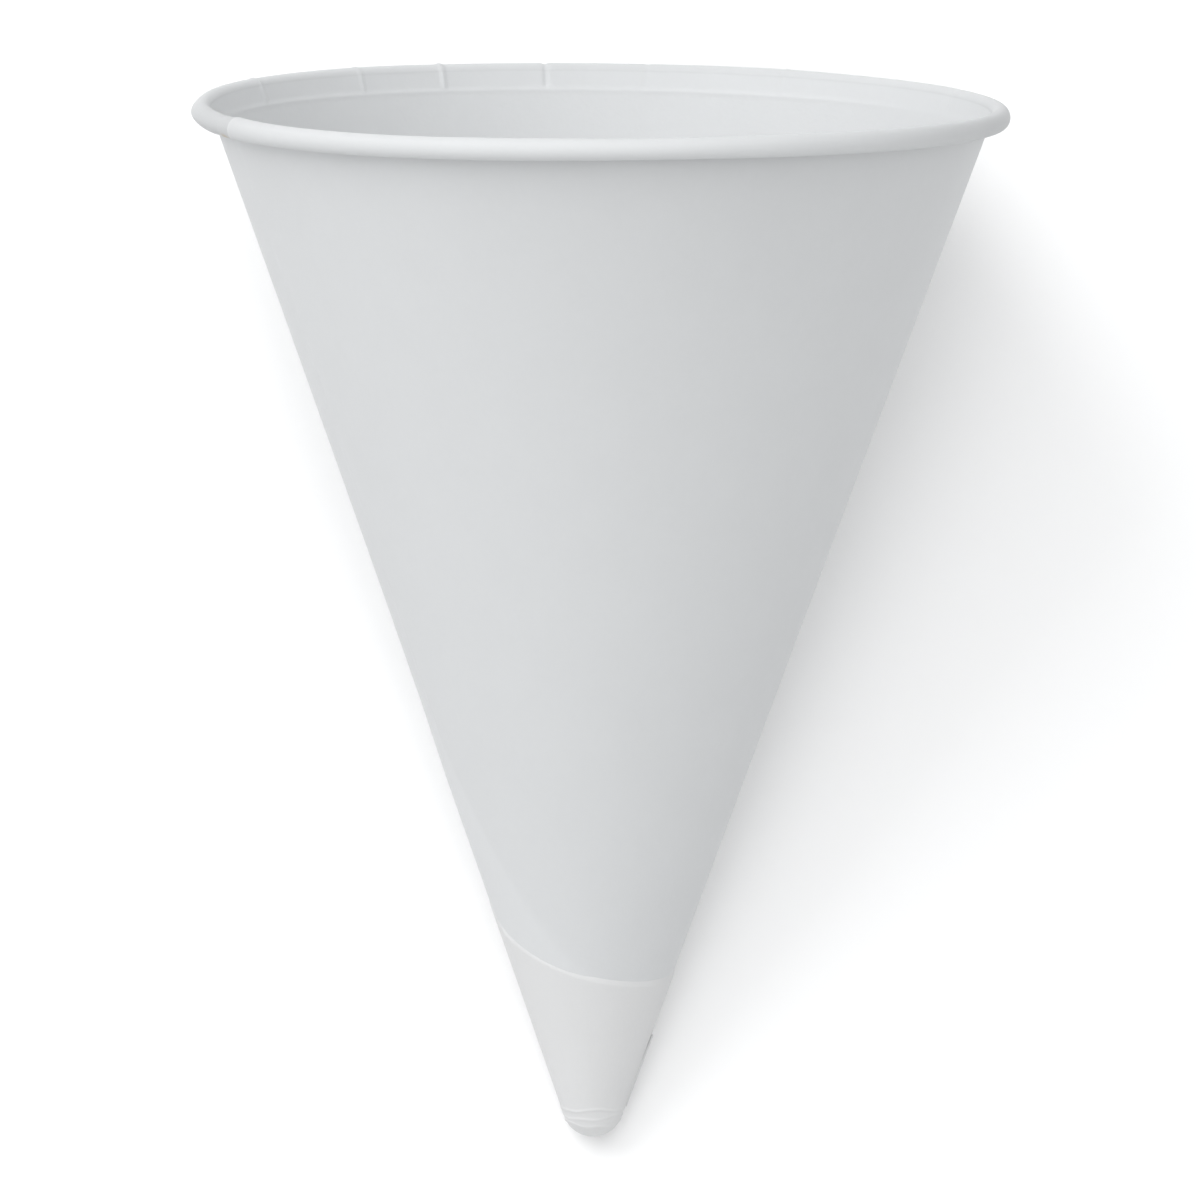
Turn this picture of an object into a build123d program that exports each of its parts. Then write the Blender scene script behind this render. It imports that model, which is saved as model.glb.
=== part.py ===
"""Cone paper cup: one sheet wound into a cone, rolled outwards at the rim and closed at the tip.

The cup lies on a table on its rolled rim and its tip, with the mouth towards +X. The origin is on
the table, under the middle of the cup. Millimetres, +Z up.

The sheet winds round the cone with its angle growing. Its inner edge runs straight down the wall.
After one turn the sheet climbs over that edge and goes on to its outer edge, so that most of the
wall is two plies thick. Round the tip it winds on for a turn more, and ends in a slanting edge.
Angles round the cup: 0 at its right, 90 down at the table, 180 at its left and 270 up.
"""

import os
from math import asin, atan2, cos, degrees, hypot, radians, sin

from build123d import *

# The cup
rim_diameter = 73.0
height = 94.1
bead_diameter = 2.07
tip_radius = 2.77
tip_thickness = 0.6
ply = 0.12

# The sheet's two edges, and the stretch where it climbs over the inner one
inner_edge_angle = 203.0
outer_edge_angle = 170.0
climb_angle = 3.0

# The scroll that the rim is rolled into
scroll_gap = 0.06
scroll_last_turn = 120.0

# The tail, which is the last turn round the tip: the heights over the tip where its edge is lowest
# and highest
tail_low = 14.75
tail_high = 25.2
tail_low_angle = 305.5

# The tuck, which is the sheet's last corner, on the outside of the tail
tuck_angle = 358.0
tuck_arc = 55.0
tuck_foot = 1.0
tuck_top = 9.6

# The rim and the tip are soft, and are pressed flat this deep where the cup lies on them
bead_press = 0.2
tip_press = 0.1

# Offsets of the sheet's outside from its inside, with two, three and four plies
wall = 2 * ply
tail = 3 * ply
tuck = 4 * ply

# A layer on the outside beds this far into what lies under it
bed = ply / 2

# Where layers are cut away, the cut starts up the wall inside the tail, and reaches past the sheet's
# faces. The two cuts of the climb also run past its ends.
cut_foot = 12.0
cut_play = scroll_gap / 2
cut_lap = climb_angle / 6
ply_lap = ply / 6

bead_radius = bead_diameter / 2
bead_centre_r = rim_diameter / 2 - bead_radius
bead_centre_h = height - bead_radius

# The outside of the wall passes one ply inside the tip's ball, and meets the rim as the bead's core
tip_to_bead = bead_centre_h - tip_radius
ball_to_bead = hypot(bead_centre_r, tip_to_bead)
line_of_centres = atan2(bead_centre_r, tip_to_bead)
slope = line_of_centres - asin((tip_radius - ply + bead_radius - wall) / ball_to_bead)
wall_length = bead_centre_r * sin(slope) + tip_to_bead * cos(slope)

# The table presses the bead and the tip's ball, which sets how the cup leans and where it lies
bead_above = bead_radius - bead_press
tip_above = tip_radius - tip_press
lean = line_of_centres + asin((bead_above - tip_above) / ball_to_bead)
mouth_x = bead_centre_h * cos(lean) + bead_centre_r * sin(lean) + bead_radius
tip_x = tip_radius * cos(lean) - tip_radius
tip_point = Vector(-(mouth_x + tip_x) / 2, 0, tip_above - tip_radius * sin(lean))
cup_plane = Plane(origin=tip_point, x_dir=(0, -1, 0), z_dir=(cos(lean), 0, sin(lean)))
cup_axis = Axis(tip_point, cup_plane.z_dir)


def half_plane(angle):
    """The half plane at an angle round the cup: x is the radius, and y the height over the tip."""
    radial = cup_plane.x_dir * cos(radians(angle)) + cup_plane.y_dir * sin(radians(angle))
    return Plane(origin=tip_point, x_dir=radial, z_dir=radial.cross(cup_plane.z_dir))


def on_sheet(length, offset):
    """A point so far up the wall from level with the tip's ball, and so far out from its inside."""
    reach = tip_radius - tail + offset
    return (
        reach * cos(slope) + length * sin(slope),
        tip_radius - reach * sin(slope) + length * cos(slope),
    )


def length_at(level, offset):
    """The length up the wall to a height over the tip, at an offset from its inside."""
    return (level - on_sheet(0, offset)[1]) / cos(slope)


def ball_arc(centre, radius):
    """The section of a ball on the axis, from its foot out to where it meets the wall."""
    return CenterArc((0, centre), radius, -90, 90 - degrees(slope))


def sheet_lines(foot, offset):
    """The lines of the sheet at an offset: up the wall, then round the scroll, which closes inwards."""
    closing = (wall + scroll_gap) / 2
    half_turn = 180
    lines = [Line(foot, on_sheet(wall_length, offset))]
    for radius, turn in (
        (bead_radius, half_turn),
        (bead_radius - closing, half_turn),
        (bead_radius - 2 * closing, scroll_last_turn),
    ):
        lines.append(JernArc(lines[-1] @ 1, lines[-1] % 1, radius - offset, -turn))
    return lines


def layer_section(angle, inside, outside):
    """The section at an angle of a layer between two offsets, from inside the tail to the scroll."""
    with BuildSketch(half_plane(angle)) as section:
        with BuildLine():
            near_face = sheet_lines(on_sheet(cut_foot, inside), inside)
            far_face = sheet_lines(on_sheet(cut_foot, outside), outside)
            Line(near_face[0] @ 0, far_face[0] @ 0)
            Line(near_face[-1] @ 1, far_face[-1] @ 1)
        make_face()
    return section.sketch


with BuildPart() as tail_turn:
    # The last turn round the tip
    tail_end = length_at(tail_high, tail) + wall
    with BuildSketch(half_plane(0)):
        with BuildLine():
            tail_ball = ball_arc(tip_radius, tip_radius)
            tail_side = Line(tail_ball @ 1, on_sheet(tail_end, tail))
            tail_top = Line(tail_side @ 1, on_sheet(tail_end, bed))
            bed_ball = ball_arc(tip_radius, tip_radius - tail + bed)
            Line(tail_top @ 1, bed_ball @ 1)
            Line(bed_ball @ 0, tail_ball @ 0)
        make_face()
    revolve(axis=cup_axis)

    # Its slanting edge
    low_side = half_plane(tail_low_angle)
    low_r = on_sheet(length_at(tail_low, tail), tail)[0]
    high_r = on_sheet(length_at(tail_high, tail), tail)[0]
    low_point = low_side.from_local_coords((low_r, tail_low, 0))
    high_point = low_side.from_local_coords((-high_r, tail_high, 0))
    edge_line = (low_point - high_point).normalized()
    edge_plane = Plane(origin=low_point, x_dir=edge_line, z_dir=edge_line.cross(low_side.z_dir))
    split(bisect_by=edge_plane)

with BuildPart() as cone_cup:
    # The wall with the rolled rim and the closed tip, two plies thick all round
    hollow_centre = (tip_radius - tail + tip_thickness - tip_radius * sin(slope)) / (1 - sin(slope))
    with BuildSketch(half_plane(0)):
        with BuildLine():
            hollow = ball_arc(hollow_centre, hollow_centre - tip_thickness)
            wall_ball = ball_arc(tip_radius, tip_radius - ply)
            inner_face = sheet_lines(hollow @ 1, 0)
            outer_face = sheet_lines(wall_ball @ 1, wall)
            Line(inner_face[-1] @ 1, outer_face[-1] @ 1)
            Line(hollow @ 0, wall_ball @ 0)
        make_face()
    revolve(axis=cup_axis)

    # One ply only, from the outer edge round to the climb
    climb_start = inner_edge_angle - climb_angle
    outer_ply = layer_section(outer_edge_angle, ply, wall + cut_play)
    revolve(outer_ply, axis=cup_axis, revolution_arc=climb_start - outer_edge_angle, mode=Mode.SUBTRACT)

    # The climb: the sheet leaves the inside before its inner edge, and is over the edge after it
    over_foot = layer_section(climb_start, ply, wall + cut_play)
    over_head = layer_section(inner_edge_angle + cut_lap, wall + ply_lap, wall + cut_play)
    loft([over_foot.face(), over_head.face()], ruled=True, mode=Mode.SUBTRACT)
    under_foot = layer_section(climb_start - cut_lap, -cut_play, -ply_lap)
    under_head = layer_section(inner_edge_angle, -cut_play, ply)
    loft([under_foot.face(), under_head.face()], ruled=True, mode=Mode.SUBTRACT)

    # The tail, and the tuck outside it
    add(tail_turn.part)
    tuck_end = length_at(tuck_top, tuck)
    with BuildSketch(half_plane(tuck_angle)):
        with BuildLine():
            Polyline(
                on_sheet(tuck_foot, tail - bed),
                on_sheet(tuck_foot, tuck),
                on_sheet(tuck_end, tuck),
                on_sheet(tuck_end, tail - bed),
                close=True,
            )
        make_face()
    revolve(axis=cup_axis, revolution_arc=tuck_arc)

    # The flats where the cup lies on the table
    split(bisect_by=Plane.XY)

cone_cup.part.label = "cone_cup"
os.makedirs("parts", exist_ok=True)
export_step(cone_cup.part, "parts/cone_cup.step")
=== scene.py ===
"""Cone paper cup: one sheet wound into a cone, rolled outwards at the rim and shut at the tip.

The cup lies on a table on its rim and its tip, with the mouth towards +X. Every surface is worked out
in the cup's own frame and then placed. In that frame an angle round the axis is 0 at the cup's right,
90 down at the table, 180 at its left and 270 up, and a level is a height over the tip, along the axis.

The sheet winds with its angle growing, from a straight inner edge that runs down the wall. After one
turn it climbs over that edge and goes on to its outer edge. Round the tip it winds on for one turn
more, the tail, which ends in a slanting edge and has the sheet's last corner, the tuck, outside it.

A piece is a section, carried round the axis. A section is made of stretches, and a stretch holds the
radius and the level of its points at every angle, with three marks that the paper reads: coarse is the
strength of the grain, tone lightens or darkens the colour by a share, mostly as painted shade and painted
light, and stain mixes in paste.
"""

from math import asin, atan2, cos, hypot, pi, radians, sin

import bpy
import numpy as np
from bpy.props import FloatProperty, FloatVectorProperty, PointerProperty
from mathutils import Matrix, Vector


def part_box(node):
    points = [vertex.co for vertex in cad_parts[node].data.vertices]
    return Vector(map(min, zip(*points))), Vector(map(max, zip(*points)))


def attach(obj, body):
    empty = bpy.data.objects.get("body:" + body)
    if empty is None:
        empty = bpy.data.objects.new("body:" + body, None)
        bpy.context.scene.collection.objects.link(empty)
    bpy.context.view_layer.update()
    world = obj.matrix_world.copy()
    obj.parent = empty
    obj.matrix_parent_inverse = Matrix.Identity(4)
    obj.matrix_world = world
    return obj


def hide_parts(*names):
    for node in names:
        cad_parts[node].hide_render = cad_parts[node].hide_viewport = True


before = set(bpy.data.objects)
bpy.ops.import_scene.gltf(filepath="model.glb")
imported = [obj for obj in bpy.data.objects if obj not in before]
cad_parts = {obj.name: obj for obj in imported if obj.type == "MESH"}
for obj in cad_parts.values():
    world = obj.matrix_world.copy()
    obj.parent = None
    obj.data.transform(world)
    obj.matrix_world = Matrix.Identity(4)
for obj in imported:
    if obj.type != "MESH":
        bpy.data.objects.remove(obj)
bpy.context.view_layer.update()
CUP_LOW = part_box("cone_cup")[0]

bl_info = {
    "name": "Cone Paper Cup",
    "version": (1, 0, 0),
    "blender": (4, 5, 0),
    "location": "3D View > Sidebar > Paper Cup",
    "description": "Makes a wound paper cone cup with a rolled rim, its paper, and a plain studio",
    "category": "Add Mesh",
}

MM = 0.001


def length(name, description, millimetres):
    """A size that is given in millimetres and kept in metres."""
    return FloatProperty(
        name=name, description=description, default=millimetres * MM, unit="LENGTH", precision=5
    )


def angle(name, description, degrees):
    """An angle that is given in degrees and kept in radians."""
    return FloatProperty(
        name=name, description=description, default=radians(degrees), subtype="ANGLE"
    )


def colour(name, description, values):
    """A linear colour."""
    return FloatVectorProperty(
        name=name, description=description, default=values, subtype="COLOR", min=0, max=1
    )


def number(name, description, value):
    """A plain number."""
    return FloatProperty(name=name, description=description, default=value)


def watts(name, description, value):
    """The power of a light."""
    return FloatProperty(name=name, description=description, default=value, unit="POWER")


class CupSizes(bpy.types.PropertyGroup):
    """The sizes of the cup and of the sheet that it is wound from."""

    rim_diameter: length("Rim diameter", "Across the outside of the rolled rim", 73.0)
    height: length("Height", "From the tip to the top of the rim", 94.1)
    bead_diameter: length("Bead diameter", "Thickness of the rolled rim", 2.07)
    tip_radius: length("Tip radius", "Radius of the rounded tip", 2.77)
    tip_thickness: length("Tip thickness", "Paper gathered at the tip", 0.6)
    ply: length("Ply", "Thickness of the sheet", 0.12)
    bead_press: length("Bead press", "How deep the rim is pressed flat where it lies", 0.2)
    tip_press: length("Tip press", "How deep the tip is pressed flat where it lies", 0.1)
    scroll_gap: length("Scroll gap", "Room between the turns of the rolled rim", 0.06)
    scroll_turn: angle("Scroll turn", "How far the rim is rolled", 480)
    inner_edge: angle("Inner edge", "Angle of the sheet's inner edge", 203)
    outer_edge: angle("Outer edge", "Angle of the sheet's outer edge", 170)
    climb: angle("Climb", "Stretch where the sheet climbs over its inner edge", 3.5)
    tail_low: length("Tail, low side", "Level of the tail's edge where it is lowest", 14.75)
    tail_low_angle: angle("Tail, low angle", "Where the tail's edge is lowest", 325)
    under_low: length("Under edge", "Level of the edge under the outer ply, where it is lowest", 9.33)
    under_low_angle: angle("Under edge, low angle", "Where that edge is lowest, a turn on", 428)
    tuck_start: angle("Tuck start", "Where the tuck starts", 358)
    tuck_arc: angle("Tuck arc", "How far the tuck goes round", 55)
    tuck_foot: length("Tuck foot", "Lower edge of the tuck, up the wall", 1.0)
    tuck_top: length("Tuck top", "Level of the tuck's upper edge", 9.3)


class CupCharacter(bpy.types.PropertyGroup):
    """How far the soft paper strays from a true cone."""

    rim_saddle: length("Rim saddle", "Rise of the rim at its two high places", 0.2)
    saddle_angle: angle("Saddle angle", "One of the rim's two high places", 119)
    rim_ripple: length("Rim ripple", "Rise of the rim at its three high places", 0.1)
    ripple_angle: angle("Ripple angle", "One of the rim's three high places", 42)
    wall_flats: length("Wall flats", "How far the wall stands in and out round the cone", 0.05)
    waist: length("Waist", "How far the wall is drawn in half way up", 0.14)
    bead_narrow: number("Bead narrowing", "How much narrower than tall the rolled rim is", 0.09)
    bead_wave: number("Bead wave", "How much the bead's thickness varies, as a share of it", 0.03)
    rim_pinch: number("Rim pinch", "How far the rim is pinched to a blunt edge, as a share", 0.12)
    pinch_angle: angle("Pinch angle", "Where the rim is pinched", 182)
    pinch_width: angle("Pinch width", "How far round the rim the pinch reaches", 15)
    seam_angle: angle("Seam angle", "Where the sheet's edge crosses the rolled rim", 207)
    seam_lift: length("Seam lift", "How far the sheet's edge stands off on the bead", 0.14)
    seam_reach: angle("Seam reach", "How far past the seam the sheet stands off", 14)
    under_step: length("Under step", "How far an edge under the outer ply shows through", 0.05)
    bare_from: length("Bare from", "How far up the wall the step down to one ply starts to show", 32)
    bare_blend: length("Bare blend", "How much more of the wall that takes", 10)
    crease_depth: length("Crease depth", "Depth of the small creases across the rim", 0.11)
    ridge_height: length("Ridge height", "Ridge inside the mouth, under the pressed band", 0.05)
    ridge_width: length("Ridge width", "Half the width of that ridge", 0.22)
    band_width: length("Band width", "From the rolled rim down to that ridge", 1.75)
    edge_lift: length("Edge lift", "How far the tail's edge stands off the wall", 0.015)
    cut_width: length("Cut width", "Width of the feathered cut along the tail's edge", 0.6)
    tuck_lift: length("Tuck lift", "How far the tuck's corner stands off the tail", 0.1)
    tip_crease: length("Tip crease", "Height of the small folds round the tip", 0.07)


class PaperFinish(bpy.types.PropertyGroup):
    """The paper's colour and grain, and how much lighter or darker it is here and there, mostly painted
    shade and painted light.
    """

    # Both paper colours are greyer than white paper, painted shade for the dimmer light on the cup than
    # on the floor, and the body's cool cast is painted cool light
    body_colour: colour("Body colour", "White paper with a cool cast", (0.626, 0.636, 0.643))
    tail_colour: colour("Tail colour", "The same paper with more plies under it", (0.664, 0.667, 0.669))
    stain_colour: colour("Stain colour", "Paste that shows at the rim's seam", (0.5, 0.42, 0.3))
    stain: number("Stain", "How much paste shows there", 0.9)
    mottle: number("Mottle", "How much cloudy fibre varies the colour", 0.03)
    grain_depth: length("Grain depth", "Height of the paper's grain", 0.012)
    grain_size: length("Grain size", "Size of the paper's grain", 0.4)
    inside_grain: number("Inside grain", "Strength of the grain inside the mouth", 1.0)
    band_grain: number("Band grain", "Strength of the grain on the pressed band", 0.15)
    outside_grain: number("Outside grain", "Strength of the grain outside", 0.3)
    rim_grain: number("Rim grain", "Strength of the grain on the rolled rim", 0.1)
    roughness: number("Roughness", "Roughness of the uncoated paper", 0.62)
    # Painted shade darkens the whole rim, its right side, and the rim up to its seam and past it; a
    # painted highlight lightens the seam's edge
    rim_painted_shade: number("Rim tone", "Tone of the rolled rim", -0.035)
    rim_side_painted_shade: number("Rim's side", "Further tone of the rim at the cup's right", -0.08)
    before_seam_painted_shade: number("Before the seam", "Further tone of the rim up to its seam", -0.15)
    seam_edge_painted_highlight: number("Seam's edge", "Further tone of the sheet's edge at the seam", 0.07)
    past_seam_painted_shade: number("Past the seam", "Further tone of the rim past its seam", -0.06)
    # Painted light lightens the pressed band
    band_painted_light: number("Band tone", "Tone of the pressed band inside the mouth", 0.02)
    padded_tone: number("Padded tone", "Tone of the wall where one more ply lies under it", 0.035)
    # Painted shade darkens the wall just under the rim, and painted light, bounced from the floor,
    # lightens the wall's right side
    under_rim_painted_shade: number("Under the rim", "Tone of the wall just under the rim", -0.1)
    wall_side_painted_light: number("Wall's side", "Tone of the wall at the cup's right", 0.05)


class StageSettings(bpy.types.PropertyGroup):
    """The floor, the light and the camera."""

    floor_colour: colour("Floor colour", "Pale floor", (0.93, 0.93, 0.93))
    floor_half: length("Floor", "From the middle of the floor to its edge", 3000)
    key_power: watts("Key power", "Large light from the upper left", 7.4)
    front_power: watts("Front power", "Large light over the mouth", 5.5)
    low_power: watts("Low power", "Large light over the tip", 4.9)
    light_size: length("Light size", "Side of each square light", 1000)
    sky_colour: colour("Sky colour", "Colour of the even light all round", (0.98, 0.99, 1.0))
    sky: number("Sky", "Strength of the even light all round", 0.47)
    lens: FloatProperty(name="Lens", description="Focal length", default=270, unit="CAMERA")
    distance: length("Distance", "From the camera to the cup", 808.2)
    elevation: angle("Elevation", "How far the camera looks down into the mouth", 8.7)
    roll: angle("Roll", "How far the camera is turned about its own axis", 0.449)
    aim_level: length("Aim level", "Level on the cup's axis that the camera looks at", 47.75)
    aim_right: length("Aim right", "How far to the right of that it looks", 0.3)
    aim_up: length("Aim up", "How far above that it looks", 1.34)


# The lights: where each stands, in metres, and the setting that holds its power. All face one point.
LIGHTS = (
    ("key_light", (0.6, 0.7, 0.8), "key_power"),
    ("front_light", (0.4, 0.0, 1.15), "front_power"),
    ("low_light", (-0.5, 0.0, 1.1), "low_power"),
)
LIT_POINT = Vector((0, 0, 0.02))

# Where small creases cross the rolled rim and the band under it, in degrees round the cup, with the
# depth of each as a share of the crease depth
RIM_CREASES = (
    (24.0, 0.3),
    (61.0, -0.4),
    (83.0, 0.4),
    (98.5, 1.0),
    (115.0, -1.0),
    (129.5, -0.6),
    (152.4, -0.8),
)
CREASE_WIDTH = radians(0.45)

# The small folds round the tip: the level of each in millimetres, its height as a share, and where
# its wandering up and down starts, in radians round the cup
TIP_FOLDS = ((1.4, 1.0, 1.0), (2.1, 0.7, 2.6), (2.8, 0.8, 4.4))
FOLD_WIDTH = 0.13

# Half the width of a sharp step round the cup, in degrees
STEP_HALF = 0.02


def rise(value, start, stop):
    """0 up to start, 1 from stop on, and 3s^2 - 2s^3 between them, with s the share of the way."""
    share = np.clip((value - start) / (stop - start), 0, 1)
    return share * share * (3 - 2 * share)


def bell(value, width):
    """1 at nothing, falling away on both sides of it: exp(-(value / width)^2)."""
    return np.exp(-((value / width) ** 2))


def wrapped(turn):
    """An angle, brought within half a turn of 0."""
    return (turn + pi) % (2 * pi) - pi


def near(turn, centre, width):
    """A bell about an angle, which goes round."""
    return bell(wrapped(turn - centre), width)


def between(turn, start, stop):
    """1 from one angle round to another, and 0 elsewhere."""
    return ((turn - start) % (2 * pi) < (stop - start) % (2 * pi)).astype(float)


def run(start, stop, count):
    """So many even steps from start to stop, as rows, without the start itself."""
    return np.linspace(start, stop, count + 1)[1:, None]


def ball_arc(start, stop, count, centre, radius):
    """Radius and level on a ball on the axis, from one heading to another.

    A heading is 0 straight out and -90 at the ball's foot: the radius is radius * cos(heading), and
    the level is centre + radius * sin(heading).
    """
    heading = np.linspace(start, stop, count)[:, None]
    return radius * np.cos(heading), centre + radius * np.sin(heading)


def columns_round(spots):
    """Angles round the cup, a degree and a half apart, with more of them at each (angle, reach, step)."""
    parts = [np.arange(0, 360, 1.5)]
    for spot, reach, step in spots:
        parts.append(np.arange(spot - reach, spot + reach + step / 2, step) % 360)
    return np.radians(np.unique(np.round(np.concatenate(parts), 3)))[None, :]


class CupForm:
    """The cup's lines, worked out from its sizes, and the place of any point of the sheet."""

    def __init__(self, scene):
        sizes, character = scene.cup_sizes, scene.cup_character
        self.sizes = sizes
        self.character = character
        self.wall = 2 * sizes.ply
        self.tail = 3 * sizes.ply
        self.tuck = 4 * sizes.ply
        self.bead = sizes.bead_diameter / 2
        self.bead_half = self.bead * (1 - character.bead_narrow)
        self.bead_r = sizes.rim_diameter / 2 - self.bead_half
        self.bead_h = sizes.height - self.bead
        tip_to_bead = self.bead_h - sizes.tip_radius
        apart = hypot(self.bead_r, tip_to_bead)
        tilt = atan2(self.bead_r, tip_to_bead)
        inner_reach = sizes.tip_radius - sizes.ply + self.bead_half - self.wall
        self.slope = tilt - asin(inner_reach / apart)
        self.wall_length = self.bead_r * sin(self.slope) + tip_to_bead * cos(self.slope)
        tip_above = sizes.tip_radius - sizes.tip_press
        self.lean = tilt + asin((self.bead_half - sizes.bead_press - tip_above) / apart)
        foot_x = CUP_LOW.x + sizes.tip_radius * (1 - cos(self.lean))
        foot_z = tip_above - sizes.tip_radius * sin(self.lean)
        self.foot = Vector((foot_x, 0, foot_z))
        self.right = Vector((0, -1, 0))
        self.down = Vector((sin(self.lean), 0, -cos(self.lean)))
        self.axis = Vector((cos(self.lean), 0, sin(self.lean)))

    def on_wall(self, up, offset):
        """Radius and level, so far up the wall from the tip's ball and so far out from its inside."""
        reach = self.sizes.tip_radius - self.tail + offset
        radius = reach * cos(self.slope) + up * sin(self.slope)
        level = self.sizes.tip_radius - reach * sin(self.slope) + up * cos(self.slope)
        return radius, level

    def up_at(self, level, offset):
        """How far up the wall a level is, at an offset from its inside."""
        return (level - self.on_wall(0, offset)[1]) / cos(self.slope)

    def on_roll(self, turned, offset, swell):
        """Radius and level in the rolled rim, after the sheet has turned so far from the wall.

        The sheet goes round the bead's centre. Its own radius is the bead's for the first quarter,
        then shrinks evenly, by the wall and the gap for each turn, so that it rolls up inside itself.
        Its way across is narrowed, so that the roll is an oval that is taller than it is wide.
        """
        shrink = (self.wall + self.sizes.scroll_gap) * np.maximum(turned - pi / 2, 0) / (1.5 * pi)
        radius = self.bead * swell - shrink - offset
        heading = pi - self.slope - turned
        across = radius * self.bead_half / self.bead
        return self.bead_r + across * np.cos(heading), self.bead_h + radius * np.sin(heading)

    def cut_level(self, gap, low):
        """Level of a straight edge of the sheet, at an angle from where it is nearest to the tip.

        Laid flat, the cone's angles shrink by the sine of its slope, and there the distance to a
        straight line is its lowest level / cos(angle).
        """
        return low / np.cos(gap * sin(self.slope))

    def place(self, radius, turn, level):
        """Points in the row frame, in metres, for a radius, an angle and a level.

        The wall stands in and out by its flats, which are five and nine slow waves round the cone,
        and is drawn in at its waist by 4s(1 - s), with s the share of the height. The rim rises by
        its saddle, two waves round it, and by its ripple, three waves. Flats, saddle and ripple grow
        from nothing at the tip with the square of s. The table presses flat what reaches it.
        """
        character = self.character
        height_share = np.clip(level / self.sizes.height, 0, 1)
        grown = height_share**2
        flats = 0.6 * np.sin(5 * turn + 0.7) + 0.4 * np.sin(9 * turn + 2.1)
        waisted = 4 * height_share * (1 - height_share)
        radius = radius + np.minimum(grown, radius / self.bead_r) * character.wall_flats * flats
        radius = radius - character.waist * waisted * np.minimum(radius / self.sizes.tip_radius, 1)
        lift = character.rim_saddle * np.cos(2 * (turn - character.saddle_angle))
        lift = lift + character.rim_ripple * np.cos(3 * (turn - character.ripple_angle))
        level = level + grown * lift
        across, under = radius * np.cos(turn), radius * np.sin(turn)
        points = (
            np.array(self.foot)
            + across[..., None] * np.array(self.right)
            + under[..., None] * np.array(self.down)
            + level[..., None] * np.array(self.axis)
        )
        points[..., 2] = np.maximum(points[..., 2], 0)
        return points


def stretch(line, turn, coarse, tone=0, stain=0):
    """A stretch of a section: its line's radius and level, and its marks, at every angle round."""
    radius, level = line
    grid = np.zeros((len(level), turn.size))
    return [values + grid for values in (radius, level, coarse, tone, stain)]


def carry(form, turn, stretches):
    """Points and marks of a section that is carried round the axis, and meets it at both its ends."""
    radius, level, coarse, tone, stain = (np.concatenate(rows) for rows in zip(*stretches))
    radius[0] = radius[-1] = 0
    return form.place(radius, turn + 0 * radius, level), {"coarse": coarse, "tone": tone, "stain": stain}


def skin(name, points, marks):
    """A closed surface through a grid of points, whose columns go round and whose ends are poles.

    The first and the last row each lie at one point. Marks are numbers kept for the materials, one
    for each point of the grid. Faces point outwards where the columns go round with growing angles
    and the rows go up inside and down outside.
    """
    rows, columns = points.shape[:2]
    inner = np.arange((rows - 2) * columns).reshape(rows - 2, columns) + 1
    first, last = 0, (rows - 2) * columns + 1
    following = np.roll(inner, -1, axis=1)
    quads = np.stack((inner[:-1], inner[1:], following[1:], following[:-1]), axis=-1).reshape(-1, 4)
    fan = np.stack((np.full(columns, first), inner[0], following[0]), axis=-1)
    end_fan = np.stack((np.full(columns, last), following[-1], inner[-1]), axis=-1)

    def gather(values):
        between_poles = values[1:-1].reshape(-1, *values.shape[2:])
        return np.concatenate((values[:1, 0], between_poles, values[-1:, 0]))

    mesh = bpy.data.meshes.new(name)
    places = gather(points)
    loops = np.concatenate((quads.ravel(), fan.ravel(), end_fan.ravel())).astype(np.int32)
    counts = np.concatenate((np.full(len(quads), 4), np.full(2 * columns, 3)))
    starts = np.concatenate(((0,), np.cumsum(counts)[:-1])).astype(np.int32)
    mesh.vertices.add(len(places))
    mesh.vertices.foreach_set("co", places.astype(np.float32).ravel())
    mesh.loops.add(len(loops))
    mesh.loops.foreach_set("vertex_index", loops)
    mesh.polygons.add(len(counts))
    mesh.polygons.foreach_set("loop_start", starts)
    mesh.update(calc_edges=True)
    for mark, values in marks.items():
        layer = mesh.attributes.new(mark, "FLOAT", "POINT")
        layer.data.foreach_set("value", gather(values).astype(np.float32))
    if mesh.validate():
        raise RuntimeError(f"{name} has faces that Blender had to mend")
    mesh.shade_smooth()
    mesh.set_sharp_from_angle(angle=radians(35))
    piece = bpy.data.objects.new(name, mesh)
    bpy.context.scene.collection.objects.link(piece)
    return piece


def settle(piece, material):
    """Gives a piece its material, and has it ride on the cup and stand for the plain model."""
    piece.data.materials.append(material)
    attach(piece, "root")
    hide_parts("cone_cup")


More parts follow.
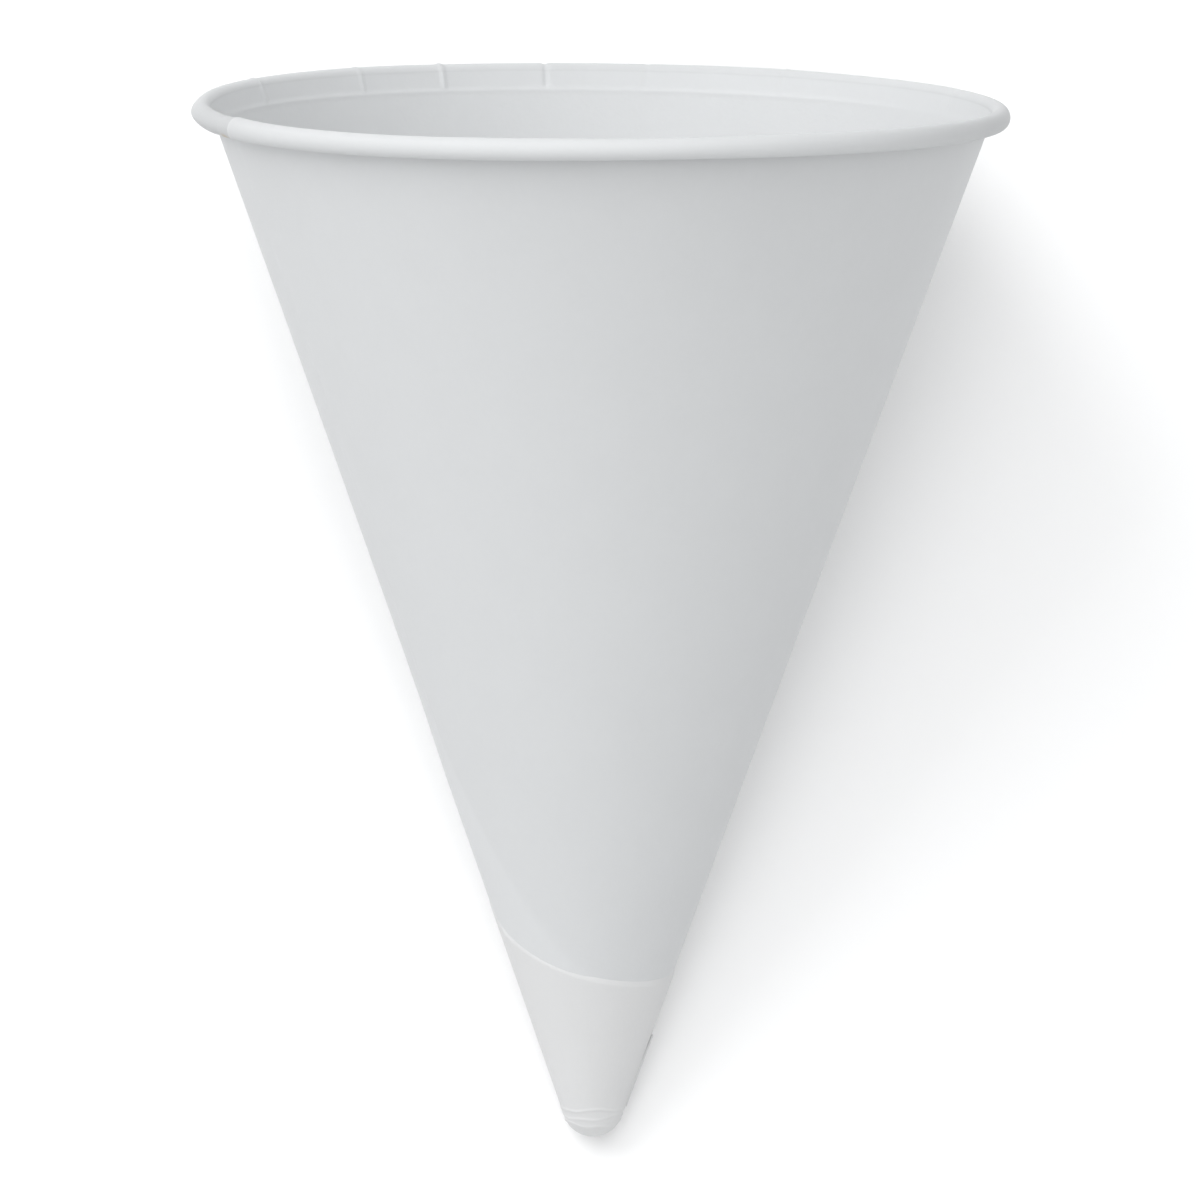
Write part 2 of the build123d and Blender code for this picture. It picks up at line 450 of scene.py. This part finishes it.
def paper_material(name, base, finish):
    """Uncoated white paper: cloudy fibre in its colour, and a fine grain in its surface.

    The fibre is two noises, one of a few millimetres and one of under a millimetre. It and the tone mark,
    which carries painted shade and painted light, scale the colour, and the stain mark mixes it with the
    paste's. The grain is two noises more, and its height follows the coarse mark.
    """
    material = bpy.data.materials.new(name)
    material.use_nodes = True
    nodes, links = material.node_tree.nodes, material.node_tree.links
    shader = nodes["Principled BSDF"]
    shader.inputs["Roughness"].default_value = finish.roughness
    shader.inputs["Specular IOR Level"].default_value = 0.35
    place = nodes.new("ShaderNodeTexCoord").outputs["Object"]

    def noise(size, detail, rough):
        node = nodes.new("ShaderNodeTexNoise")
        node.inputs["Scale"].default_value = 1 / size
        node.inputs["Detail"].default_value = detail
        node.inputs["Roughness"].default_value = rough
        links.new(place, node.inputs["Vector"])
        return node.outputs["Fac"]

    def maths(operation, first, second):
        node = nodes.new("ShaderNodeMath")
        node.operation = operation
        for socket, value in zip(node.inputs, (first, second)):
            if isinstance(value, (int, float)):
                socket.default_value = value
            else:
                links.new(value, socket)
        return node.outputs[0]

    def mark(name):
        node = nodes.new("ShaderNodeAttribute")
        node.attribute_name = name
        return node.outputs["Fac"]

    cloud = noise(6 * MM, 3, 0.6)
    fibre = noise(0.7 * MM, 4, 0.65)
    shade = maths("ADD", maths("MULTIPLY", cloud, 0.6), maths("MULTIPLY", fibre, 0.4))
    spread = maths("MULTIPLY", maths("SUBTRACT", shade, 0.5), 2 * finish.mottle)
    # The tone mark's painted shade and painted light scale the colour here
    strength = maths("ADD", maths("ADD", spread, mark("tone")), 1.0)
    toned = nodes.new("ShaderNodeVectorMath")
    toned.operation = "SCALE"
    toned.inputs[0].default_value = base
    links.new(strength, toned.inputs["Scale"])
    stained = nodes.new("ShaderNodeMix")
    stained.data_type = "RGBA"
    stained.inputs["B"].default_value = (*finish.stain_colour, 1)
    links.new(toned.outputs["Vector"], stained.inputs["A"])
    links.new(mark("stain"), stained.inputs["Factor"])
    links.new(stained.outputs["Result"], shader.inputs["Base Color"])

    fine = noise(finish.grain_size, 2, 0.6)
    lumps = noise(1.6 * MM, 2, 0.5)
    grain = maths("ADD", fine, maths("MULTIPLY", lumps, 0.8))
    depth = maths("ADD", mark("coarse"), 0.55)
    bump = nodes.new("ShaderNodeBump")
    bump.inputs["Distance"].default_value = finish.grain_depth
    links.new(maths("MULTIPLY", grain, depth), bump.inputs["Height"])
    links.new(bump.outputs["Normal"], shader.inputs["Normal"])
    return material


class WoundWall:
    """The section of the wound wall: the stretches from the tip, up inside, and down outside."""

    # Lengths up the wall over which steps and painted shade fade
    inner_edge_fade = 8 * MM
    band_blend = 0.5 * MM
    crease_blend = 0.6 * MM
    ridge_reach = 1.2 * MM
    under_blend = 0.8 * MM
    rim_shade = 18 * MM

    # Where the edge under the outer ply shows: it fades out between these levels and in between
    # these angles, and its straight line is followed so far round from its low side
    under_fade = (30 * MM, 52 * MM)
    under_turns = (radians(150), radians(175))
    under_gap_most = radians(262)

    # How far from the rim the rows are close, and how far up the tail hides them
    near_rim = 3 * MM
    tail_cover = 12 * MM

    # How far the roll has turned where its rows change, and where the band, the seam's step and the
    # creases fade
    outer_turn = radians(310)
    blend_turn = radians(70)
    seam_rise = radians(30)
    seam_fall = (radians(200), radians(240))
    crease_fall = (radians(120), radians(180))

    # Where the pressed band is strongest, and its share of that at the front
    band_back = radians(105)
    band_least = 0.12

    # Where painted shade falls on the rim's side and on the wall under the rim, and painted light on the
    # wall's side: an angle and its reach
    painted_shade_at_rim_side = (radians(345), radians(32))
    painted_shade_under_rim = (radians(284), radians(40))
    painted_light_at_wall_side = (radians(352), radians(18))

    # How far painted shade reaches on the rim up to its seam, the painted highlight at the sheet's edge,
    # and painted shade past it
    before_seam_shade_reach = radians(26)
    seam_highlight_reach = radians(0.5)
    past_seam_shade_reach = radians(9)

    # Where the paste shows: past the seam, and round the roll, each with its reach
    stain_past = (radians(-2.4), radians(0.9))
    stain_turned = (radians(212), radians(18))

    def __init__(self, form, finish):
        sizes, character = form.sizes, form.character
        self.form = form
        self.finish = finish
        inner_edge, outer_edge = np.degrees(sizes.inner_edge), np.degrees(sizes.outer_edge)
        seam = np.degrees(character.seam_angle)
        spots = [(inner_edge - 1.5, 3, 0.25), (inner_edge + 4, 4, 0.5), (seam - 1, 4, 0.25)]
        spots += [(edge, STEP_HALF, 2 * STEP_HALF) for edge in (inner_edge, outer_edge, seam)]
        spots += [(crease, 1.2, 0.15) for crease, depth in RIM_CREASES]
        turn = columns_round(spots)
        self.turn = turn
        self.past_seam = wrapped(turn - character.seam_angle)

        # The inside rises by a ply where the sheet climbs over its inner edge, and the outside by
        # another. They fall back at once, the inside at that edge and the outside at the outer edge.
        climb_start = sizes.inner_edge - sizes.climb
        climbing = between(turn, climb_start, sizes.inner_edge)
        climbed = rise(turn, climb_start, sizes.inner_edge) * climbing
        single = between(turn, sizes.outer_edge, sizes.inner_edge)
        self.inside = sizes.ply * climbed
        self.outside = form.wall - sizes.ply * single * (1 - climbed)

        # The pressed band under the rim, strongest at the back, and the creases across it
        self.ridge_at = form.wall_length - character.band_width
        at_back = rise(np.cos(turn - self.band_back), 0.2, 0.8)
        self.band_there = self.band_least + (1 - self.band_least) * at_back
        creases = (depth * near(turn, radians(spot), CREASE_WIDTH) for spot, depth in RIM_CREASES)
        self.crease = character.crease_depth * sum(creases)

    def hollow(self):
        """The hollow of the tip: a ball that meets the wall's inside without a corner."""
        form, sizes = self.form, self.form.sizes
        centre = sizes.tip_radius - form.tail + sizes.tip_thickness - sizes.tip_radius * sin(form.slope)
        centre /= 1 - sin(form.slope)
        arc = ball_arc(-pi / 2, -form.slope, 9, centre, centre - sizes.tip_thickness)
        return stretch(arc, self.turn, self.finish.inside_grain)

    def inner_face(self, foot_level):
        """Up the inside, over the ridge and the band, which the creases cross.

        The ridge is a bell that stands inwards, and beyond it the band is pressed half as far
        outwards. A crease is a narrow bell round the cup.
        """
        form, finish, character = self.form, self.finish, self.form.character
        ridge_foot = self.ridge_at - self.ridge_reach
        low = run(form.up_at(foot_level, 0), ridge_foot, 43)
        up = np.concatenate((low, run(ridge_foot, form.wall_length, 25)))
        tip_radius = form.sizes.tip_radius
        edge_there = rise(up, tip_radius, tip_radius + self.inner_edge_fade)
        past_ridge = up - self.ridge_at
        ridge = character.ridge_height * bell(past_ridge, character.ridge_width)
        band = 0.5 * character.ridge_height * rise(past_ridge, 0, self.band_blend)
        creased = self.crease * rise(past_ridge, 0, self.crease_blend)
        offset = self.inside * edge_there + (band - ridge) * self.band_there + creased
        in_band = rise(past_ridge, -0.6 * self.band_blend, 0.4 * self.band_blend)
        coarse = finish.inside_grain + (finish.band_grain - finish.inside_grain) * in_band
        # The band's lighter tone is painted light
        return stretch(form.on_wall(up, offset), self.turn, coarse, finish.band_painted_light * in_band)

    def swell(self, turned):
        """How thick the roll is, as a share, round the cup and round the roll.

        It waves six and eleven times round the cup. Where the rim is pinched, it is flatter on both
        sides of its outermost line, at a heading of 0, and stands out further along that line.
        """
        character = self.form.character
        wave = 0.6 * np.sin(6 * self.turn + 0.4) + 0.4 * np.sin(11 * self.turn + 1.9)
        pinch = character.rim_pinch * near(self.turn, character.pinch_angle, character.pinch_width)
        heading = wrapped(pi - self.form.slope - turned)
        point = 0.4 * bell(heading, 0.35) - bell(np.abs(heading) - 0.95, 0.5)
        return 1 + character.bead_wave * wave * rise(turned, 0, self.blend_turn) + pinch * point

    def roll(self):
        """Out and round the roll to the sheet's end.

        Past its seam the sheet stands off, by exp(-angle / reach). The whole rim is a little darker, and
        darker still at the cup's right, both painted shade. It is darker up to the seam, by exp(-(angle /
        reach)^4), and a little darker past it, painted shade too. The sheet's edge is a pale line, a
        painted highlight, with a spot of paste before it.
        """
        form, finish, character = self.form, self.finish, self.form.character
        outer = run(0, self.outer_turn, 49)
        turned = np.concatenate((outer, run(self.outer_turn, form.sizes.scroll_turn, 8)))
        past, turn = self.past_seam, self.turn
        lift = character.seam_lift * (past > 0) * np.exp(-np.abs(past) / character.seam_reach)
        lift = lift * rise(turned, 0, self.seam_rise) * (1 - rise(turned, *self.seam_fall))
        band = 0.5 * character.ridge_height * self.band_there * (1 - rise(turned, 0, self.blend_turn))
        crease = self.crease * (1 - rise(turned, *self.crease_fall))
        line = form.on_roll(turned, self.inside + band + crease - lift, self.swell(turned))
        # Painted shade on the rim, at its right side, up to the seam and past it, and a painted highlight
        # on the sheet's edge
        tone = (
            finish.rim_painted_shade
            + finish.rim_side_painted_shade * near(turn, *self.painted_shade_at_rim_side)
            + finish.before_seam_painted_shade * (past < 0) * np.exp(-((past / self.before_seam_shade_reach) ** 4))
            + finish.seam_edge_painted_highlight * (past > -0.001) * np.exp(-np.abs(past) / self.seam_highlight_reach)
            + finish.past_seam_painted_shade * (past > 0) * np.exp(-np.abs(past) / self.past_seam_shade_reach)
        )
        spot = near(past, *self.stain_past) * near(turned, *self.stain_turned)
        return stretch(line, turn, finish.rim_grain, tone, finish.stain * spot)

    def roll_back(self):
        """Back through the roll to the outside of the wall."""
        turned = np.linspace(self.form.sizes.scroll_turn, 0, 15)[:, None]
        line = self.form.on_roll(turned, self.outside, self.swell(turned))
        return stretch(line, self.turn, self.finish.rim_grain)

    def outer_face(self):
        """Down the outside to the tip's ball, hidden under the tail at its foot.

        The step at the outer edge shows only high up. Lower down, the sheet's straight edge under the
        outer ply shows through: below that edge the wall is padded by a low step.
        """
        form, finish, character = self.form, self.finish, self.form.character
        sizes, turn, top = form.sizes, self.turn, form.wall_length
        upper = run(top, top - self.near_rim, 7)
        middle = run(top - self.near_rim, self.tail_cover, 55)
        down = np.concatenate((upper, middle, run(self.tail_cover, 0, 4)))
        bared = rise(down, character.bare_from, character.bare_from + character.bare_blend)
        level = form.on_wall(down, form.wall)[1]
        under_gap = np.minimum(sizes.under_low_angle - turn, self.under_gap_most)
        under_level = form.cut_level(under_gap, sizes.under_low)
        padded = rise(under_level - level, -self.under_blend, self.under_blend)
        padded = padded * (1 - rise(level, *self.under_fade)) * rise(turn, *self.under_turns)
        offset = form.wall + (self.outside - form.wall) * bared + character.under_step * padded
        # Painted shade just under the rim, and painted light from the floor on the wall's right side; the
        # padded wall is lighter where one more ply lies under it
        painted_shade_under_rim = np.exp(-(top - down) / self.rim_shade) * near(turn, *self.painted_shade_under_rim)
        tone = (
            finish.padded_tone * padded
            + finish.under_rim_painted_shade * painted_shade_under_rim
            + finish.wall_side_painted_light * near(turn, *self.painted_light_at_wall_side)
        )
        return stretch(form.on_wall(down, offset), turn, finish.outside_grain, tone)

    def ball(self):
        """Round the outside of the tip to its foot, one ply inside the tail."""
        form, sizes = self.form, self.form.sizes
        radius, level = ball_arc(-form.slope, -pi / 2, 9, sizes.tip_radius, sizes.tip_radius - sizes.ply)
        return stretch((radius[1:], level[1:]), self.turn, self.finish.outside_grain)

    def stretches(self):
        """All of the section in order."""
        hollow = self.hollow()
        hollow_top = hollow[1][-1, 0]
        upward = [hollow, self.inner_face(hollow_top), self.roll()]
        return [*upward, self.roll_back(), self.outer_face(), self.ball()]


class PAPERCUP_OT_wall(bpy.types.Operator):
    """Makes the wound wall, with its rolled rim and its closed tip."""

    bl_idname = "papercup.wall"
    bl_label = "Wall and Rolled Rim"

    def execute(self, context):
        """The wall's section, carried round the axis, in the body's paper."""
        scene = context.scene
        form, finish = CupForm(scene), scene.paper_finish
        section = WoundWall(form, finish)
        piece = skin("wound_wall", *carry(form, section.turn, section.stretches()))
        settle(piece, paper_material("body_paper", finish.body_colour, finish))
        return {"FINISHED"}


class PAPERCUP_OT_tail(bpy.types.Operator):
    """Makes the tail, the last turn of the sheet round the tip, with its slanting edge."""

    bl_idname = "papercup.tail"
    bl_label = "Tail"

    def execute(self, context):
        """The layer's section, carried round the axis up to the slanting edge.

        The section runs from the tip's foot round its ball, up the outer face to the edge, across
        the cut, and back down under the layer. At its edge the layer stands off the wall by
        exp(-distance / fade). It is a little raised over the sheet's inner edge, and small folds ring
        the tip, as bells across levels that wander in two and five waves round the cup.
        """
        scene = context.scene
        form, finish = CupForm(scene), scene.paper_finish
        sizes, character = form.sizes, form.character
        turn = columns_round([(np.degrees(sizes.inner_edge), 4, 0.5)])
        coarse = finish.outside_grain

        # The straight edge, which is bent a little lower where it is highest, by the fourth power of
        # the share of half a turn
        gap = np.abs(wrapped(turn - sizes.tail_low_angle))
        edge_level = form.cut_level(gap * (1 - 0.12 * (gap / pi) ** 4), sizes.tail_low)
        edge = form.up_at(edge_level, form.tail)

        def folds(level):
            """Height of the small folds at a level."""
            rings = 0
            for fold_level, share, start in TIP_FOLDS:
                wander = 0.16 * np.sin(2 * turn + start) + 0.08 * np.sin(5 * turn + 2 * start)
                rings = rings + share * bell(level / MM - fold_level - wander, FOLD_WIDTH)
            return character.tip_crease * rings

        # Round the tip's ball, whose radius grows by the folds
        ball_rows = 34
        heading = np.linspace(-pi / 2, -form.slope, ball_rows)[:, None]
        ball_radius = sizes.tip_radius + folds(sizes.tip_radius * (1 + np.sin(heading)))
        ball = ball_arc(-pi / 2, -form.slope, ball_rows, sizes.tip_radius, ball_radius)

        # Close rows up to where the folds end, then even ones to the edge
        folded, edge_fade = 2 * MM, 0.8 * MM
        up = np.concatenate((run(0, folded, 25) + 0 * edge, folded + (edge - folded) * run(0, 1, 41)))
        over_edge = near(turn, sizes.inner_edge + radians(3), radians(6)) * rise(up, 0, 4 * MM)
        raised = 0.35 * sizes.ply * over_edge + folds(form.on_wall(up, form.tail)[1])
        lift = character.edge_lift * np.exp(-(edge - up) / edge_fade)
        side = form.on_wall(up, form.tail + lift + raised)

        # The cut starts a fifth of a ply over the layer, and ends a tenth of a ply inside the wall
        across = np.array([[0.2], [0.6], [1.0]])
        cut_top = character.edge_lift + 0.2 * sizes.ply
        cut_offset = form.tail + cut_top * (1 - across) - 1.1 * sizes.ply * across
        cut = form.on_wall(edge + character.cut_width * across, cut_offset)

        # Back under the layer, half a ply inside the wall
        bed = form.wall - sizes.ply / 2
        under = form.on_wall(edge * np.linspace(1, 0, 8)[:, None], bed)
        bed_radius = sizes.tip_radius - form.tail + bed
        radius, level = ball_arc(-form.slope, -pi / 2, 7, sizes.tip_radius, bed_radius)
        foot = (radius[1:], level[1:])

        # The section ran outside first, so its rows are turned round to face outwards
        stretches = [stretch(line, turn, coarse) for line in (ball, side, cut, under, foot)]
        points, marks = carry(form, turn, stretches)
        marks = {mark: values[::-1] for mark, values in marks.items()}
        piece = skin("tail_turn", points[::-1], marks)
        settle(piece, paper_material("tail_paper", finish.tail_colour, finish))
        return {"FINISHED"}


class PAPERCUP_OT_tuck(bpy.types.Operator):
    """Makes the tuck, the sheet's last corner, outside the tail."""

    bl_idname = "papercup.tuck"
    bl_label = "Tuck"

    def execute(self, context):
        """A flat closed section, carried round part of the tail and closed at both ends.

        The section runs up the outer face and back down under it. The layer stands off most at its
        upper corner, less down it by 0.15 + 0.85 * height^1.5, and less round the tail by
        exp(-angle / fade).
        """
        scene = context.scene
        form = CupForm(scene)
        sizes, character = form.sizes, form.character
        rows, columns = 60, 30
        stand_fade = radians(16)
        sunk = 0.4 * sizes.ply

        arc = np.linspace(0, 1, rows)
        turn = (sizes.tuck_start + sizes.tuck_arc * np.concatenate((arc[:1], arc, arc[-1:])))[:, None]
        climb = np.linspace(0, 1, columns)
        height = np.concatenate((climb, climb[::-1]))[None, :]
        outer = np.concatenate((np.ones(columns), np.zeros(columns)))[None, :]
        stand = np.exp(-(turn - sizes.tuck_start) / stand_fade) * (0.15 + 0.85 * height**1.5)
        offset = form.tail + sizes.ply * outer - sunk * (1 - outer) + character.tuck_lift * stand
        top = form.up_at(sizes.tuck_top, form.tuck)
        up = sizes.tuck_foot + (top - sizes.tuck_foot) * height + 0 * turn
        radius, level = form.on_wall(up, offset)
        for end in (0, -1):
            radius[end], level[end] = radius[end].mean(), level[end].mean()
        points = form.place(radius, turn + 0 * radius, level)
        plain = np.zeros(radius.shape)
        marks = {"coarse": plain + scene.paper_finish.outside_grain, "tone": plain, "stain": plain}
        piece = skin("tuck_corner", points, marks)
        settle(piece, bpy.data.materials["tail_paper"])
        return {"FINISHED"}


class PAPERCUP_OT_stage(bpy.types.Operator):
    """Makes the floor, the light and the camera."""

    bl_idname = "papercup.stage"
    bl_label = "Stage"

    def execute(self, context):
        """A wide pale floor, three large soft lights, an even sky and the camera."""
        scene = context.scene
        self.add_floor(scene)
        self.add_light(scene)
        self.add_camera(scene)
        return {"FINISHED"}

    def add_floor(self, scene):
        """A pale matt square on the table's level."""
        stage = scene.cup_stage
        half = stage.floor_half
        corners = [(-half, -half, 0), (half, -half, 0), (half, half, 0), (-half, half, 0)]
        mesh = bpy.data.meshes.new("floor")
        mesh.from_pydata(corners, [], [(0, 1, 2, 3)])
        floor = bpy.data.objects.new("floor", mesh)
        scene.collection.objects.link(floor)
        material = bpy.data.materials.new("floor_paint")
        material.use_nodes = True
        shader = material.node_tree.nodes["Principled BSDF"]
        shader.inputs["Base Color"].default_value = (*stage.floor_colour, 1)
        shader.inputs["Roughness"].default_value = 0.8
        shader.inputs["Specular IOR Level"].default_value = 0.2
        mesh.materials.append(material)

    def add_light(self, scene):
        """An even sky, and square lights that face the middle of the cup."""
        stage = scene.cup_stage
        world = bpy.data.worlds.new("sky")
        world.use_nodes = True
        background = world.node_tree.nodes["Background"]
        background.inputs["Color"].default_value = (*stage.sky_colour, 1)
        background.inputs["Strength"].default_value = stage.sky
        scene.world = world
        scene.view_settings.view_transform = "Standard"
        for name, place, power in LIGHTS:
            light = bpy.data.lights.new(name, "AREA")
            light.shape = "SQUARE"
            light.size = stage.light_size
            light.energy = getattr(stage, power)
            lamp = bpy.data.objects.new(name, light)
            lamp.location = place
            lamp.rotation_euler = (Vector(place) - LIT_POINT).to_track_quat("Z", "Y").to_euler()
            scene.collection.objects.link(lamp)

    def add_camera(self, scene):
        """A long lens, square to the cup's axis but for a look down into the mouth."""
        stage, form = scene.cup_stage, CupForm(scene)
        toward = form.axis * sin(stage.elevation) - form.down * cos(stage.elevation)
        right = form.right * cos(stage.roll) + toward.cross(form.right) * sin(stage.roll)
        upward = toward.cross(right)
        aim = form.foot + form.axis * stage.aim_level + right * stage.aim_right + upward * stage.aim_up
        lens = bpy.data.cameras.new("camera")
        lens.lens = stage.lens
        lens.sensor_width = 36
        lens.clip_start = 0.01
        camera = bpy.data.objects.new("camera", lens)
        turned = Matrix((right, upward, toward)).transposed().to_4x4()
        camera.matrix_world = Matrix.Translation(aim + toward * stage.distance) @ turned
        scene.collection.objects.link(camera)
        scene.camera = camera


class PAPERCUP_PT_panel(bpy.types.Panel):
    """Lists the cup's sizes and its makers in the sidebar."""

    bl_idname = "PAPERCUP_PT_panel"
    bl_label = "Cone Paper Cup"
    bl_space_type = "VIEW_3D"
    bl_region_type = "UI"
    bl_category = "Paper Cup"

    def draw(self, context):
        layout = self.layout
        for operator in OPERATORS:
            layout.operator(operator.bl_idname)
        for name, group in GROUPS.items():
            box = layout.box()
            box.label(text=group.__doc__)
            for setting in group.__annotations__:
                box.prop(getattr(context.scene, name), setting)


OPERATORS = (PAPERCUP_OT_wall, PAPERCUP_OT_tail, PAPERCUP_OT_tuck, PAPERCUP_OT_stage)
GROUPS = {
    "cup_sizes": CupSizes,
    "cup_character": CupCharacter,
    "paper_finish": PaperFinish,
    "cup_stage": StageSettings,
}


def register():
    for name, group in GROUPS.items():
        bpy.utils.register_class(group)
        setattr(bpy.types.Scene, name, PointerProperty(type=group))
    for kind in (*OPERATORS, PAPERCUP_PT_panel):
        bpy.utils.register_class(kind)


def unregister():
    for kind in (PAPERCUP_PT_panel, *reversed(OPERATORS)):
        bpy.utils.unregister_class(kind)
    for name, group in reversed(GROUPS.items()):
        delattr(bpy.types.Scene, name)
        bpy.utils.unregister_class(group)


def main():
    """Makes the cup and its stage."""
    register()
    bpy.ops.papercup.wall()
    bpy.ops.papercup.tail()
    bpy.ops.papercup.tuck()
    bpy.ops.papercup.stage()


if __name__ == "__main__":
    main()
